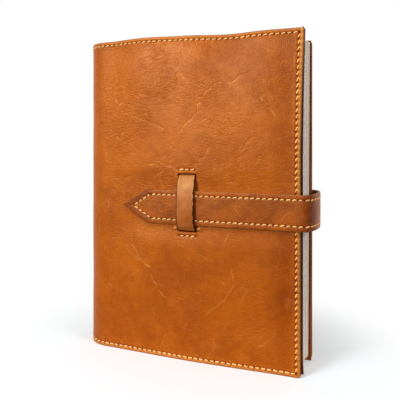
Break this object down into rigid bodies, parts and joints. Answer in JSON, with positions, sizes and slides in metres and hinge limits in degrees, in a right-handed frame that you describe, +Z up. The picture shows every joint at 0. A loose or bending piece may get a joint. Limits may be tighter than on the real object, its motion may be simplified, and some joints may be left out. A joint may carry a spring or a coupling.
{
  "type": "leather notebook",
  "caption": "Leather-covered notebook with a rounded spine, contrast stitching and a pointed strap that closes through a keeper loop on the front cover.",
  "frame": {"origin": "middle of the bounding box in plan, at the level of the surface the closed notebook stands on", "axes": "+X from the spine to the fore edge, +Y from the front cover to the back cover, +Z up along the spine"},
  "size_m": [0.1669, 0.0438, 0.2175],
  "materials": {
    "cover_leather": "waxed tan hide with a soft sheen, fine grain and light creases",
    "pocket_leather": "tan pocket leather",
    "keeper_leather": "tan leather rubbed bright at the top",
    "strap_leather": "brown tan leather with burnished edges",
    "strap_lining_leather": "flesh side of the strap",
    "thread": "waxed pale yellow thread",
    "black_card": "matt black card",
    "pages": "uncoated off-white paper"
  },
  "bodies": {
    "spine_and_pages": {"spine_leather": "cover_leather", "spine_card": "black_card", "spine_thread": "thread", "page_block": "pages"},
    "front": {"front_cover": "cover_leather", "front_pocket": "pocket_leather", "front_card": "black_card", "keeper_loop": "keeper_leather", "keeper_thread": "thread", "front_edge_thread": "thread"},
    "back": {"back_cover": "cover_leather", "back_pocket": "pocket_leather", "back_card": "black_card", "back_edge_thread": "thread", "strap_face": "strap_leather", "strap_lining": "strap_lining_leather", "strap_thread": "thread", "strap_anchor_thread": "thread"}
  },
  "joints": [
    {"name": "front_cover_hinge", "type": "hinge", "parent": "spine_and_pages", "child": "front", "pos_m": [-0.06488, -0.01772, 0.1085], "axis": [0, 0, -1], "range_deg": [0, 170], "deforming": ["strap_face", "strap_lining", "strap_thread"]},
    {"name": "back_cover_hinge", "type": "hinge", "parent": "spine_and_pages", "child": "back", "pos_m": [-0.06488, 0.01878, 0.1085], "axis": [0, 0, 1], "range_deg": [0, 170], "deforming": ["strap_face", "strap_lining", "strap_thread"]}
  ]
}
